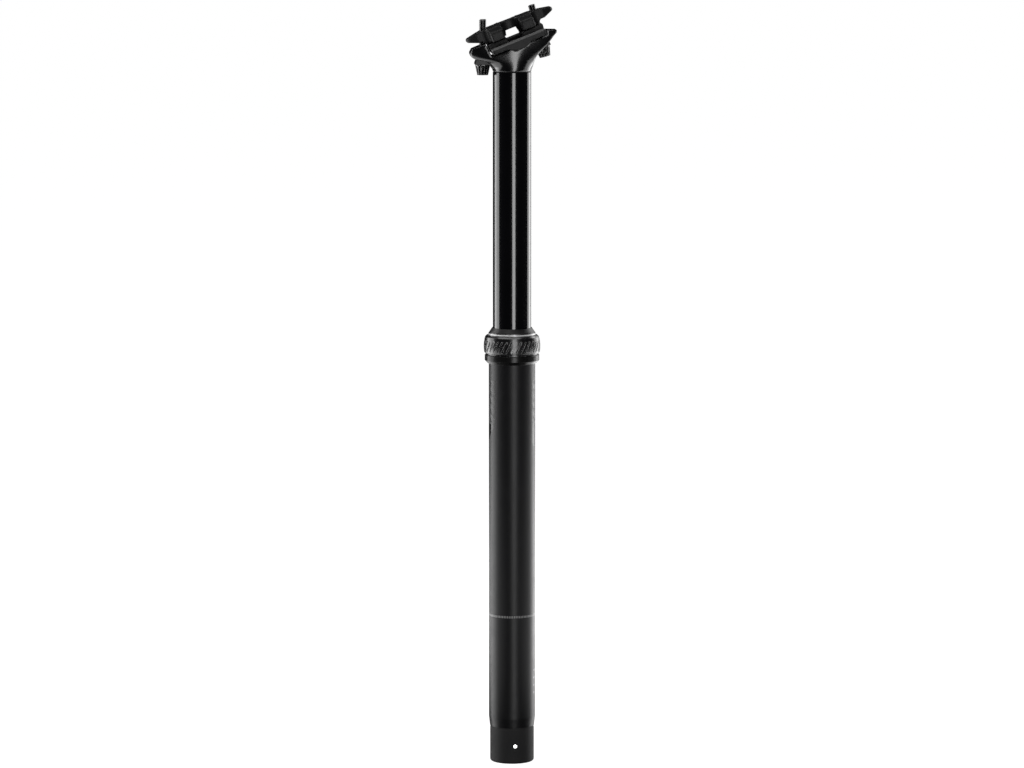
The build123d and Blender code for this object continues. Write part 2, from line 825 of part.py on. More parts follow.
# Frames of the saddle clamp: its tilt axis, the direction of the rails and the bolts' lines
along_x = cos(radians(clamp_tilt))
along_z = sin(radians(clamp_tilt))
rail_dir = Vector(along_x, 0, along_z)
up_dir = Vector(-along_z, 0, along_x)
tilt_axis = Vector(0, 0, stanchion_top + tilt_axis_rise)
clamp_centre = tilt_axis - rail_dir * clamp_forward + up_dir * clamp_lift
clamp_side = Plane(origin=clamp_centre, x_dir=rail_dir, z_dir=(0, -1, 0))
clamp_section = Plane(origin=clamp_centre, x_dir=(0, 1, 0), z_dir=rail_dir)
clamp_plan = Plane(origin=clamp_centre, x_dir=rail_dir, z_dir=up_dir)
head_side = Plane(origin=(0, 0, stanchion_top), x_dir=(1, 0, 0), z_dir=(0, -1, 0))
front_seat = Vector(-front_seat_reach, 0, stanchion_top + front_seat_height)
rear_seat = Vector(rear_seat_reach, 0, stanchion_top + rear_seat_height)
front_nut = clamp_centre - rail_dir * front_nut_reach + up_dir * nut_rise
rear_nut = clamp_centre + rail_dir * rear_nut_reach + up_dir * nut_rise
front_bolt_dir = (front_nut - front_seat).normalized()
rear_bolt_dir = (rear_nut - rear_seat).normalized()


# A plane across a bolt, with its x direction across the post
def bolt_plane(origin, direction):
    return Plane(origin=origin, x_dir=(0, 1, 0), z_dir=direction)


# Fork block: the head's side outline, with rounded edges under the arms
front_curve = [
    (-stanchion_radius - x * front_arm_overhang, y * front_arm_underside) for x, y in front_curve_shares
]
rear_curve = [(stanchion_radius + x * rear_arm_overhang, y * rear_arm_nose) for x, y in rear_curve_shares]
nose_top = (-stanchion_radius - nose_top_share * front_arm_overhang, front_arm_top)
nose = (-stanchion_radius - front_arm_overhang, front_arm_nose)
front_arm_rise = nose_top_share * front_arm_overhang * tan(radians(clamp_tilt))
inner_top = (-stanchion_radius, front_arm_top + front_arm_rise)
with BuildPart() as fork_block:
    with BuildSketch(head_side):
        with BuildLine():
            Spline((-stanchion_radius, -overrun), *front_curve, nose, nose_top, tangents=((0, 1), (1, 2)))
            Polyline(
                nose_top,
                inner_top,
                (-stanchion_radius, rear_arm_top),
                (stanchion_radius + rear_arm_overhang, rear_arm_top),
                rear_curve[0],
            )
            Spline(*rear_curve, (stanchion_radius, -overrun), tangents=((-1, -1), (0, -1)))
            Line((stanchion_radius, -overrun), (-stanchion_radius, -overrun))
        make_face()
    extrude(amount=head_half_depth, both=True)
    sides = fork_block.faces().filter_by(Axis.Y)
    under_arms = sides.edges().filter_by(GeomType.BSPLINE).sort_by(Axis.X)
    fillet(under_arms[:2], front_arm_round)
    sides = fork_block.faces().filter_by(Axis.Y)
    under_arms = sides.edges().filter_by(GeomType.BSPLINE).sort_by(Axis.X)
    fillet(under_arms[-2:], rear_arm_round)


# Stanchion head: a column that opens from the tube's round to a long oval, cut to the fork block, hollowed
# for the cradle's swing, and pierced for the bolts, their heads and their half-round washers
trough_depth = cradle_underside + trough_gap
wall_foot = cradle_foot_length + wall_foot_gap
wall_run = (trough_depth + clamp_half_width) * tan(radians(wall_lean))
washer_radius = half_washer_diameter / 2
with BuildPart() as saddle_head:
    for height, front, rear, depth in column_shares:
        with BuildSketch(Plane.XY.offset(stanchion_top + height * rear_arm_top)):
            with Locations(((rear - front) * stanchion_radius / 2, 0)):
                Ellipse((rear + front) * stanchion_radius / 2, depth * stanchion_radius)
    loft()
    chamfer(saddle_head.faces().sort_by(Axis.Z)[0].edges(), edge_break)
    add(fork_block.part, mode=Mode.INTERSECT)
    with BuildSketch(clamp_side) as trough_section:
        with BuildLine():
            Polyline(
                (clamp_forward - wall_foot - wall_run, clamp_half_width),
                (clamp_forward - wall_foot, -trough_depth),
                (clamp_forward + wall_foot, -trough_depth),
                (clamp_forward + wall_foot + wall_run, clamp_half_width),
                close=True,
            )
        make_face()
        with Locations((clamp_forward, -clamp_lift)):
            Circle(cradle_radius + running_gap)
        seat_rims = [rim for rim in trough_section.vertices() if abs(rim.X - clamp_forward) < cradle_radius]
        fillet(seat_rims, trough_round)
    extrude(amount=head_half_depth + overrun, both=True, mode=Mode.SUBTRACT)
    chamfer(saddle_head.edges(Select.LAST).filter_by(Axis.Y, reverse=True), rim_break)
    for seat, direction in ((front_seat, front_bolt_dir), (rear_seat, rear_bolt_dir)):
        with BuildSketch(bolt_plane(seat, direction)):
            SlotOverall(arm_slot_length, arm_slot_width, rotation=90)
        extrude(amount=front_bolt_length, mode=Mode.SUBTRACT)
        with BuildSketch(bolt_plane(seat, direction)):
            Circle(bolt_head_top_diameter / 2 + head_pocket_gap)
        extrude(amount=-bolt_head_height - overrun, mode=Mode.SUBTRACT)
        with BuildSketch(Plane(origin=seat, x_dir=(1, 0, 0), z_dir=(0, -1, 0))):
            Circle(washer_radius + running_gap)
        extrude(amount=half_washer_length / 2 + running_gap, both=True, mode=Mode.SUBTRACT)
    with BuildSketch(Plane.XY.offset(stanchion_top)):
        Circle(stanchion_bore / 2 - seat_gap)
    extrude(amount=-head_spigot_length)
saddle_head.part.label = "saddle_head"
export_step(saddle_head.part, "parts/saddle_head.step")


# Lower cradle: a bar with a round belly that tilts in the head, a raised rib at each end and a groove
# under each rail
rail_radius = rail_diameter / 2
rail_y = rail_spacing / 2
side_width = clamp_half_width - ridge_half_width
side_y = (clamp_half_width + ridge_half_width) / 2
rear_slot_x = (cradle_slot_start + wall_foot) / 2
front_notch_x = (cradle_notch_start + wall_foot) / 2
with BuildPart() as lower_cradle:
    with BuildSketch(clamp_side):
        with Locations((clamp_forward, -clamp_lift)):
            Circle(cradle_radius)
        with BuildLine():
            Polyline(
                (clamp_forward - cradle_half_length, -cradle_ridge),
                (clamp_forward + cradle_half_length, -cradle_ridge),
                (clamp_forward + cradle_foot_length, -cradle_underside),
                (clamp_forward - cradle_foot_length, -cradle_underside),
                close=True,
            )
        make_face()
        with Locations((clamp_forward, cradle_radius - cradle_ridge)):
            Rectangle(2 * cradle_half_length, 2 * cradle_radius, mode=Mode.SUBTRACT)
        with Locations((0, -(cradle_ridge + cradle_lip) / 2)):
            Rectangle(cradle_window, cradle_lip - cradle_ridge, mode=Mode.SUBTRACT)
    extrude(amount=clamp_half_width, both=True)
    with BuildSketch(clamp_section):
        with Locations((-side_y, -cradle_ridge), (side_y, -cradle_ridge)):
            Rectangle(side_width, 2 * (cradle_lip - cradle_ridge))
        with Locations((-rail_y, -rail_drop), (rail_y, -rail_drop)):
            Circle(rail_radius)
    extrude(amount=2 * cradle_half_length, both=True, mode=Mode.SUBTRACT)
    with BuildSketch(clamp_plan):
        with Locations((clamp_forward, 0)):
            RectangleRounded(2 * cradle_half_length, 2 * clamp_half_width, clamp_corner)
    extrude(amount=2 * cradle_radius, both=True, mode=Mode.INTERSECT)
    with BuildSketch(clamp_plan):
        with Locations((rear_slot_x, 0)):
            Rectangle(wall_foot - cradle_slot_start + overrun, cradle_slot_width)
        with Locations((-front_notch_x, 0)):
            Rectangle(wall_foot - cradle_notch_start + overrun, cradle_slot_width)
    extrude(amount=-2 * cradle_radius, mode=Mode.SUBTRACT)
lower_cradle.part.label = "lower_cradle"
export_step(lower_cradle.part, "parts/lower_cradle.step")


# Upper clamp: rail blocks on both sides of a waisted spine, with a wing and a nut trough at each end
nut_radius = barrel_nut_diameter / 2
tip_x = wing_reach - wing_tip_length
tip_middle = (wing_tip_top - wing_tip_underside) / 2
step_radius = wing_root_underside - wing_underside
step_x = block_half_length + wing_root_fillet
step_lift = step_radius / sqrt(2)
fold_x = step_x + step_radius
with BuildPart() as upper_clamp:
    with BuildSketch(clamp_section) as block_section:
        with BuildLine():
            Polyline(
                (-clamp_half_width, -block_underside),
                (clamp_half_width, -block_underside),
                (clamp_half_width, block_top),
                (wing_half_width, wing_top),
                (-wing_half_width, wing_top),
                (-clamp_half_width, block_top),
                close=True,
            )
        make_face()
        shoulders = [corner for corner in block_section.vertices() if abs(corner.Y - block_top) < edge_break]
        fillet(shoulders, block_round)
    extrude(amount=block_half_length, both=True)
    with BuildSketch(clamp_side):
        with BuildLine():
            Polyline(
                (0, spine_top),
                (spine_half_length, spine_top),
                (wing_shoulder, wing_top),
                (step_x, wing_top),
                (tip_x, wing_tip_top),
            )
            ThreePointArc((tip_x, wing_tip_top), (wing_reach, tip_middle), (tip_x, -wing_tip_underside))
            Polyline(
                (tip_x, -wing_tip_underside),
                (wing_belly, -wing_underside),
                (fold_x, -wing_underside),
            )
            ThreePointArc(
                (fold_x, -wing_underside),
                (fold_x - step_lift, -wing_root_underside + step_lift),
                (step_x, -wing_root_underside),
            )
            Polyline(
                (step_x, -wing_root_underside),
                (arch_foot_length / 2, -wing_root_underside),
                (arch_top_length / 2, -spine_underside),
                (0, -spine_underside),
            )
            mirror(about=Plane.YZ)
        make_face()
    extrude(amount=wing_half_width + wing_root_fillet, both=True)
    with BuildSketch(clamp_plan):
        with BuildLine() as plan_line:
            FilletPolyline(
                (wing_reach, 0),
                (wing_reach, wing_tip_half_width),
                (wing_belly, wing_half_width),
                (block_half_length, wing_half_width),
                (block_half_length, clamp_half_width),
                (bite_half_length, clamp_half_width),
                (bite_half_length, spine_half_width),
                (-bite_half_length, spine_half_width),
                (-bite_half_length, clamp_half_width),
                (-block_half_length, clamp_half_width),
                (-block_half_length, wing_half_width),
                (-wing_belly, wing_half_width),
                (-wing_reach, wing_tip_half_width),
                (-wing_reach, 0),
                radius=[
                    wing_tip_round,
                    wing_tip_round,
                    wing_root_fillet,
                    block_corner,
                    block_corner,
                    bite_round,
                    bite_round,
                    block_corner,
                    block_corner,
                    wing_root_fillet,
                    wing_tip_round,
                    wing_tip_round,
                ],
            )
            mirror(about=Plane.XZ)
        make_face()
    extrude(amount=clamp_half_width, both=True, mode=Mode.INTERSECT)
    with BuildSketch(clamp_side):
        with BuildLine():
            Polyline(
                (-arch_top_length / 2, -spine_underside),
                (arch_top_length / 2, -spine_underside),
                (arch_foot_length / 2, -wing_root_underside),
                (-arch_foot_length / 2, -wing_root_underside),
                close=True,
            )
        make_face()
    extrude(amount=clamp_half_width + overrun, both=True, mode=Mode.SUBTRACT)
    with BuildSketch(clamp_section):
        with Locations((-rail_y, -rail_drop), (rail_y, -rail_drop)):
            Circle(rail_radius)
    extrude(amount=block_half_length + overrun, both=True, mode=Mode.SUBTRACT)
    with BuildSketch(clamp_side):
        with Locations((-front_nut_reach, nut_rise), (rear_nut_reach, nut_rise)):
            Circle(nut_radius + trough_clearance)
        with Locations((-front_nut_reach, nut_rise + spine_top), (rear_nut_reach, nut_rise + spine_top)):
            Rectangle(2 * (nut_radius + trough_clearance), 2 * spine_top)
    extrude(amount=barrel_nut_length / 2 + trough_clearance, both=True, mode=Mode.SUBTRACT)
    for nut, direction in ((front_nut, front_bolt_dir), (rear_nut, rear_bolt_dir)):
        with BuildSketch(bolt_plane(nut, direction)):
            SlotOverall(bolt_diameter + 2 * bolt_room, bolt_diameter + 2 * trough_clearance, rotation=90)
        extrude(amount=-clamp_half_width, mode=Mode.SUBTRACT)
upper_clamp.part.label = "upper_clamp"
export_step(upper_clamp.part, "parts/upper_clamp.step")


# Bolts with fluted conical heads, half-round washers under the arms and barrel nuts in the wings
head_top = bolt_head_top_diameter / 2
head_foot = bolt_head_foot_diameter / 2
flute_tilt = degrees(atan2(head_top - head_foot, bolt_head_height))
bolt_sets = (
    ("front", front_seat, front_nut, front_bolt_dir, front_bolt_length),
    ("rear", rear_seat, rear_nut, rear_bolt_dir, rear_bolt_length),
)
for name, seat, nut, direction, length in bolt_sets:
    across = bolt_plane(seat, direction)
    with BuildPart() as bolt:
        with BuildSketch(across):
            Circle(head_top)
        with BuildSketch(across.offset(-bolt_head_height)):
            Circle(head_foot)
        loft()
        with BuildSketch(across):
            Circle(bolt_diameter / 2)
        extrude(amount=length)
        chamfer(bolt.faces().sort_by(Axis(seat, direction))[-1].edges(), edge_break)
        with BuildSketch(across.offset(-bolt_head_height)):
            RegularPolygon(bolt_socket_width / 2, 6, major_radius=False)
        extrude(amount=bolt_socket_depth, mode=Mode.SUBTRACT)
        with Locations(across):
            with Locations((0, 0, -bolt_head_height / 2 - bolt_head_rim)):
                with PolarLocations((head_top + head_foot) / 2, flute_count):
                    Cylinder(
                        flute_diameter / 2,
                        bolt_head_height,
                        rotation=(0, flute_tilt, 0),
                        mode=Mode.SUBTRACT,
                    )
    bolt.part.label = f"{name}_bolt"
    export_step(bolt.part, f"parts/{name}_bolt.step")

    side = Plane(origin=seat, x_dir=direction.cross(across.x_dir), z_dir=across.x_dir)
    with BuildPart() as half_washer:
        with BuildSketch(side):
            Circle(washer_radius)
            with Locations((0, -washer_radius)):
                Rectangle(2 * washer_radius + overrun, 2 * washer_radius, mode=Mode.SUBTRACT)
        extrude(amount=half_washer_length / 2, both=True)
        with BuildSketch(across):
            Circle(bolt_diameter / 2 + seat_gap)
        extrude(amount=washer_radius, mode=Mode.SUBTRACT)
    half_washer.part.label = f"{name}_half_washer"
    export_step(half_washer.part, f"parts/{name}_half_washer.step")

    with BuildPart() as barrel_nut:
        with BuildSketch(Plane(origin=nut, x_dir=rail_dir, z_dir=(0, -1, 0))):
            Circle(nut_radius)
            with Locations((0, nut_flat + nut_radius)):
                Rectangle(2 * nut_radius, 2 * nut_radius, mode=Mode.SUBTRACT)
        extrude(amount=barrel_nut_length / 2, both=True)
        chamfer(barrel_nut.edges().filter_by(GeomType.CIRCLE), edge_break)
        with BuildSketch(bolt_plane(nut, direction)):
            Circle(bolt_diameter / 2 + nut_gap)
        extrude(amount=nut_radius + overrun, both=True, mode=Mode.SUBTRACT)
    barrel_nut.part.label = f"{name}_barrel_nut"
    export_step(barrel_nut.part, f"parts/{name}_barrel_nut.step")
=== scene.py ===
import json
from math import cos, degrees, exp, hypot, pi, radians, sin, tanh

import bmesh
import bpy
from mathutils import Matrix, Vector


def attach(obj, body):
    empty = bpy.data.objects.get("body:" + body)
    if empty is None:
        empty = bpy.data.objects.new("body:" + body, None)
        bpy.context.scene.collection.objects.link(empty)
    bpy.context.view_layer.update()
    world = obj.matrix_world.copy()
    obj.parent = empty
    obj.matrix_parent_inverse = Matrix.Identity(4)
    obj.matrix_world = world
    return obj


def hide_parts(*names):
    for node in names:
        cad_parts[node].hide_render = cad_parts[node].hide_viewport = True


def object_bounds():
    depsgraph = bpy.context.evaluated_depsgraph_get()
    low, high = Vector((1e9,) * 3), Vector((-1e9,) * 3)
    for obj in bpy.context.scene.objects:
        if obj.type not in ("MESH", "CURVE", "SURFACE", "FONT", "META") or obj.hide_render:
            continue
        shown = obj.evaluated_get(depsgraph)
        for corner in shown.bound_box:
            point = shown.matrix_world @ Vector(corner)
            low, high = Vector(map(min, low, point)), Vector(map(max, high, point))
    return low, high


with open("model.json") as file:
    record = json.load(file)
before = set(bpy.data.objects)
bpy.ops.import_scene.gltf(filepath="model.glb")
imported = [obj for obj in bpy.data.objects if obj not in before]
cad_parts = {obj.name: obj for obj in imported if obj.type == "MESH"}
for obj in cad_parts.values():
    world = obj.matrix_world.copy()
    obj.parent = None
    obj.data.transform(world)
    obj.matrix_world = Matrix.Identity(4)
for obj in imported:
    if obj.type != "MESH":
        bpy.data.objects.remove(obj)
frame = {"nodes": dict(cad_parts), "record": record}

# Dropper seatpost, standing on its cable cap in front of soft studio lights.
# Metres, +Z up the post, +X to the bicycle's rear, the camera on the -Y side.

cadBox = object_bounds()
nodes = frame["nodes"]
mm = 0.001
floorHeight = cadBox[0][2]
print("frame loaded,", len(nodes), "nodes")


# Shader helpers: put adds a node, whose inputs take numbers, colours or another node's output

def put(tree, kind, inputs=None, **settings):
    node = tree.nodes.new("ShaderNode" + kind)
    for key, value in settings.items():
        setattr(node, key, value)
    for key, value in (inputs or {}).items():
        if isinstance(value, bpy.types.NodeSocket):
            tree.links.new(value, node.inputs[key])
        else:
            node.inputs[key].default_value = value
    return node


def calc(tree, operation, *values):
    return put(tree, "Math", dict(enumerate(values)), operation=operation).outputs[0]


def times(tree, product, *others):
    for other in others:
        product = calc(tree, "MULTIPLY", product, other)
    return product


def rise(tree, value, low, high, first=0.0, last=1.0):  # a soft step
    inputs = {"Value": value, "From Min": low, "From Max": high, "To Min": first, "To Max": last}
    return put(tree, "MapRange", inputs, interpolation_type="SMOOTHSTEP").outputs[0]


def above(tree, value, limit, soft):
    return rise(tree, value, limit - soft, limit + soft)


def below(tree, value, limit, soft):
    return rise(tree, value, limit - soft, limit + soft, 1.0, 0.0)


def between(tree, value, low, high, soft):
    return times(tree, above(tree, value, low, soft), below(tree, value, high, soft))


def mixColour(tree, share, first, second):
    return put(tree, "Mix", {0: share, 6: first, 7: second}, data_type="RGBA").outputs[2]


def mixValue(tree, share, first, second):
    return put(tree, "Mix", {0: share, 2: first, 3: second}, data_type="FLOAT").outputs[0]


def cloud(tree, place, size, detail=2.0):  # noise with features of a given size
    inputs = {"Vector": place, "Scale": 1 / size, "Detail": detail, "Roughness": 0.55}
    return put(tree, "TexNoise", inputs).outputs["Fac"]


def turnedPlace(tree, place):  # height and distance from the axis, so that a pattern on them runs round
    split = put(tree, "SeparateXYZ", {0: place}).outputs
    flat = put(tree, "CombineXYZ", {"X": split["X"], "Y": split["Y"]}).outputs[0]
    radius = put(tree, "VectorMath", {0: flat}, operation="LENGTH").outputs["Value"]
    return put(tree, "CombineXYZ", {"X": split["Z"], "Y": radius}).outputs[0]


def grey(level, blue=0.0):
    return (level, level, level * (1 + blue), 1)


# Where noise and the turn of an edge become smudges, wear with its painted edge highlight, and the patches in
# it
marking = {
    "smudge": (0.45, 0.7), "smudgesInDrift": 4, "edge": (0.03, 0.16), "edgeSamples": 6,
    "patch": (0.42, 0.66), "grainsInPatch": 8,
}


def makeFinish(name, look, paint=None):
    material = bpy.data.materials.new(name)
    material.use_nodes = True
    tree = material.node_tree
    tree.nodes.clear()
    place = put(tree, "TexCoord").outputs["Object"]
    drift = cloud(tree, place, look["driftSize"], 3.0)
    grain = cloud(tree, place, look["grainSize"])
    smudge = cloud(tree, place, look["driftSize"] / marking["smudgesInDrift"], 4.0)
    smudge = rise(tree, smudge, *marking["smudge"])
    # Edges catch light on a small round, and are worn there in patches; the worn colour is also a painted
    # highlight along the edges
    samples = marking["edgeSamples"]
    softNormal = put(tree, "Bevel", {"Radius": look["edge"]}, samples=samples).outputs[0]
    hardNormal = put(tree, "NewGeometry").outputs["Normal"]
    wearAndHighlightRadius = look.get("wearAndHighlightRadius", look["edge"])
    rubbedAndLitNormal = put(tree, "Bevel", {"Radius": wearAndHighlightRadius}, samples=samples).outputs[0]
    facing = put(tree, "VectorMath", {0: rubbedAndLitNormal, 1: hardNormal}, operation="DOT_PRODUCT").outputs["Value"]
    edge = rise(tree, calc(tree, "SUBTRACT", 1.0, facing), *marking["edge"])
    patch = cloud(tree, place, look["grainSize"] * marking["grainsInPatch"], 4.0)
    patch = mixValue(tree, look["patchy"], 1.0, rise(tree, patch, *marking["patch"]))
    wornAndLitEdge = times(tree, edge, patch, look["wearAndEdgeHighlight"])
    colour = mixColour(tree, drift, look["colour"], look["colourTo"])
    spread = look["spread"]
    roughness = mixValue(tree, grain, look["roughness"] - spread, look["roughness"] + spread)
    roughness = calc(tree, "ADD", roughness, times(tree, smudge, look["smudge"]))
    height = times(tree, grain, look["grainHeight"])
    if look.get("turning"):  # fine lines left by the lathe
        lines = cloud(tree, turnedPlace(tree, place), look["turning"], 1.0)
        height = calc(tree, "ADD", height, times(tree, lines, look["turningHeight"]))
        roughness = calc(tree, "ADD", roughness, times(tree, lines, spread))
    if paint:
        colour, roughness, height = paint(tree, place, colour, roughness, height)
    # the edge mask mixes in the bare colour: partly real wear, partly a painted highlight along the rims
    colour = mixColour(tree, wornAndLitEdge, colour, look["bareAndHighlightColour"])
    roughness = mixValue(tree, wornAndLitEdge, roughness, look["bareRoughness"])
    metal = look["metal"]
    if look["wearAndEdgeHighlight"] and metal != look["bareMetal"]:
        metal = mixValue(tree, wornAndLitEdge, metal, look["bareMetal"])
    bump = {"Strength": 1.0, "Distance": 1.0, "Height": height, "Normal": softNormal}
    shader = put(tree, "BsdfPrincipled", {
        "Base Color": colour, "Metallic": metal, "Roughness": roughness,
        "Normal": put(tree, "Bump", bump).outputs[0], "IOR": look["ior"],
    })
    put(tree, "OutputMaterial", {"Surface": shader.outputs[0]})
    return material


# Prints on the outer tube: a hatched bar with a slanted end on each side, a line of ticks that marks the
# least insertion, and a short scale near the foot. The tube's top ring is glossy. Heights are in mm, and
# the angle is 0 degrees towards -Y and grows towards +X.

prints = {
    "bars": (
        {"angle": -96, "half": 47, "foot": -57, "slant": 0.36},
        {"angle": 92, "half": 42, "foot": -66, "slant": -0.36},
    ),
    "barTop": -11, "barMargin": 4.8, "barShade": grey(0.004), "barRoughness": 0.14,
    "hatchFoot": -41, "hatchStep": 3.1, "hatchLean": 0.55, "hatchLine": (1.2, 1.7),
    "hatchShade": grey(0.03), "hatchRoughness": 0.42,
    "ticksHeight": -172.4, "ticksHalf": 0.75, "tickCount": 84, "tickLine": (0.8, 1.1),
    "scaleAngle": 70, "scaleHalf": 7, "scaleTop": -208, "scaleFoot": -229,
    "scaleStep": 2.6, "scaleLine": (1.9, 2.1), "lineShade": grey(0.16),
    "ringFoot": -0.2, "ringShade": grey(0.004), "ringRoughness": 0.22,
    "thickness": 0.012, "softTurn": 1.0, "softColumn": 0.6, "softLevel": 0.3, "softLine": 0.1,
}


def paintTube(tree, place, colour, roughness, height):
    split = put(tree, "SeparateXYZ", {0: place}).outputs
    level = calc(tree, "DIVIDE", split["Z"], mm)
    angle = calc(tree, "ARCTAN2", split["X"], times(tree, split["Y"], -1.0))
    angle = times(tree, angle, degrees(1))
    softTurn, softLevel, softLine = prints["softTurn"], prints["softLevel"], prints["softLine"]

    hatches, bars = 0.0, 0.0
    for bar in prints["bars"]:
        turn = calc(tree, "WRAP", calc(tree, "SUBTRACT", angle, bar["angle"]), 180.0, -180.0)
        half, innerHalf = bar["half"], bar["half"] - prints["barMargin"]
        across = between(tree, turn, -half, half, softTurn)
        inner = between(tree, turn, -innerHalf, innerHalf, softTurn)
        foot = calc(tree, "ADD", times(tree, turn, bar["slant"]), bar["foot"])
        along = above(tree, calc(tree, "SUBTRACT", level, foot), 0.0, softLevel)
        along = times(tree, along, below(tree, level, prints["barTop"], softLevel))
        lean = calc(tree, "ADD", level, times(tree, turn, prints["hatchLean"]))
        hatch = rise(tree, calc(tree, "PINGPONG", lean, prints["hatchStep"]), *prints["hatchLine"])
        hatch = times(tree, hatch, above(tree, level, prints["hatchFoot"], softLevel))
        bars = calc(tree, "MAXIMUM", bars, times(tree, across, along))
        hatches = calc(tree, "MAXIMUM", hatches, times(tree, inner, along, hatch))

    tick = rise(tree, calc(tree, "PINGPONG", angle, 180 / prints["tickCount"]), *prints["tickLine"])
    low, high = prints["ticksHeight"] - prints["ticksHalf"], prints["ticksHeight"] + prints["ticksHalf"]
    ticks = times(tree, tick, between(tree, level, low, high, softLine))
    rung = rise(tree, calc(tree, "PINGPONG", level, prints["scaleStep"]), *prints["scaleLine"])
    stand = between(tree, level, prints["scaleFoot"], prints["scaleTop"], softLine)
    low, high = prints["scaleAngle"] - prints["scaleHalf"], prints["scaleAngle"] + prints["scaleHalf"]
    column = between(tree, angle, low, high, prints["softColumn"])
    lines = calc(tree, "MAXIMUM", ticks, times(tree, rung, stand, column))
    ring = above(tree, level, prints["ringFoot"], softLevel)

    colour = mixColour(tree, ring, colour, prints["ringShade"])
    colour = mixColour(tree, bars, colour, prints["barShade"])
    colour = mixColour(tree, hatches, colour, prints["hatchShade"])
    colour = mixColour(tree, lines, colour, prints["lineShade"])
    roughness = mixValue(tree, ring, roughness, prints["ringRoughness"])
    roughness = mixValue(tree, bars, roughness, prints["barRoughness"])
    roughness = mixValue(tree, hatches, roughness, prints["hatchRoughness"])
    raised = times(tree, calc(tree, "MAXIMUM", bars, lines), prints["thickness"] * mm)
    return colour, roughness, calc(tree, "ADD", height, raised)


# The rib along each side of the lower jaw, from its front to its rear end in mm, with a painted highlight
# along its crest
rib = {
    "front": (-14.3, 213.6), "rear": (19.9, 227.4), "side": 26.0, "radius": 0.75, "around": 24,
    "round": 0.3, "roundSteps": 3, "smoothAngle": 50,
    # the lighter shade on the crest is a painted highlight
    "shade": grey(0.09), "highlightSoft": 0.2, "highlightFrom": (25.9, 26.2),
}


def paintClamp(tree, place, colour, roughness, height):
    split = put(tree, "SeparateXYZ", {0: place}).outputs
    (startX, startZ), (endX, endZ) = rib["front"], rib["rear"]
    span = hypot(endX - startX, endZ - startZ)
    alongX = calc(tree, "SUBTRACT", calc(tree, "DIVIDE", split["X"], mm), startX)
    alongZ = calc(tree, "SUBTRACT", calc(tree, "DIVIDE", split["Z"], mm), startZ)
    rising, going = times(tree, alongZ, (endX - startX) / span), times(tree, alongX, (endZ - startZ) / span)
    off = calc(tree, "SUBTRACT", rising, going)  # distance from the rib's middle line
    # a lighter colour along the rib's crest on its outer side: a painted highlight
    crest = between(tree, off, -rib["radius"], rib["radius"], rib["highlightSoft"])
    out = calc(tree, "DIVIDE", calc(tree, "ABSOLUTE", split["Y"]), mm)
    crest = times(tree, crest, rise(tree, out, *rib["highlightFrom"]))
    return mixColour(tree, crest, colour, rib["shade"]), roughness, height


# A dull line where the head meets the stanchion
headSeam = {"foot": 197.5, "top": 198.3, "soft": 0.1, "shade": grey(0.001), "roughness": 1.0}


def paintHead(tree, place, colour, roughness, height):
    level = calc(tree, "DIVIDE", put(tree, "SeparateXYZ", {0: place}).outputs["Z"], mm)
    seam = between(tree, level, headSeam["foot"], headSeam["top"], headSeam["soft"])
    colour = mixColour(tree, seam, colour, headSeam["shade"])
    return colour, mixValue(tree, seam, roughness, headSeam["roughness"]), height


# One finish for each material slot of the record

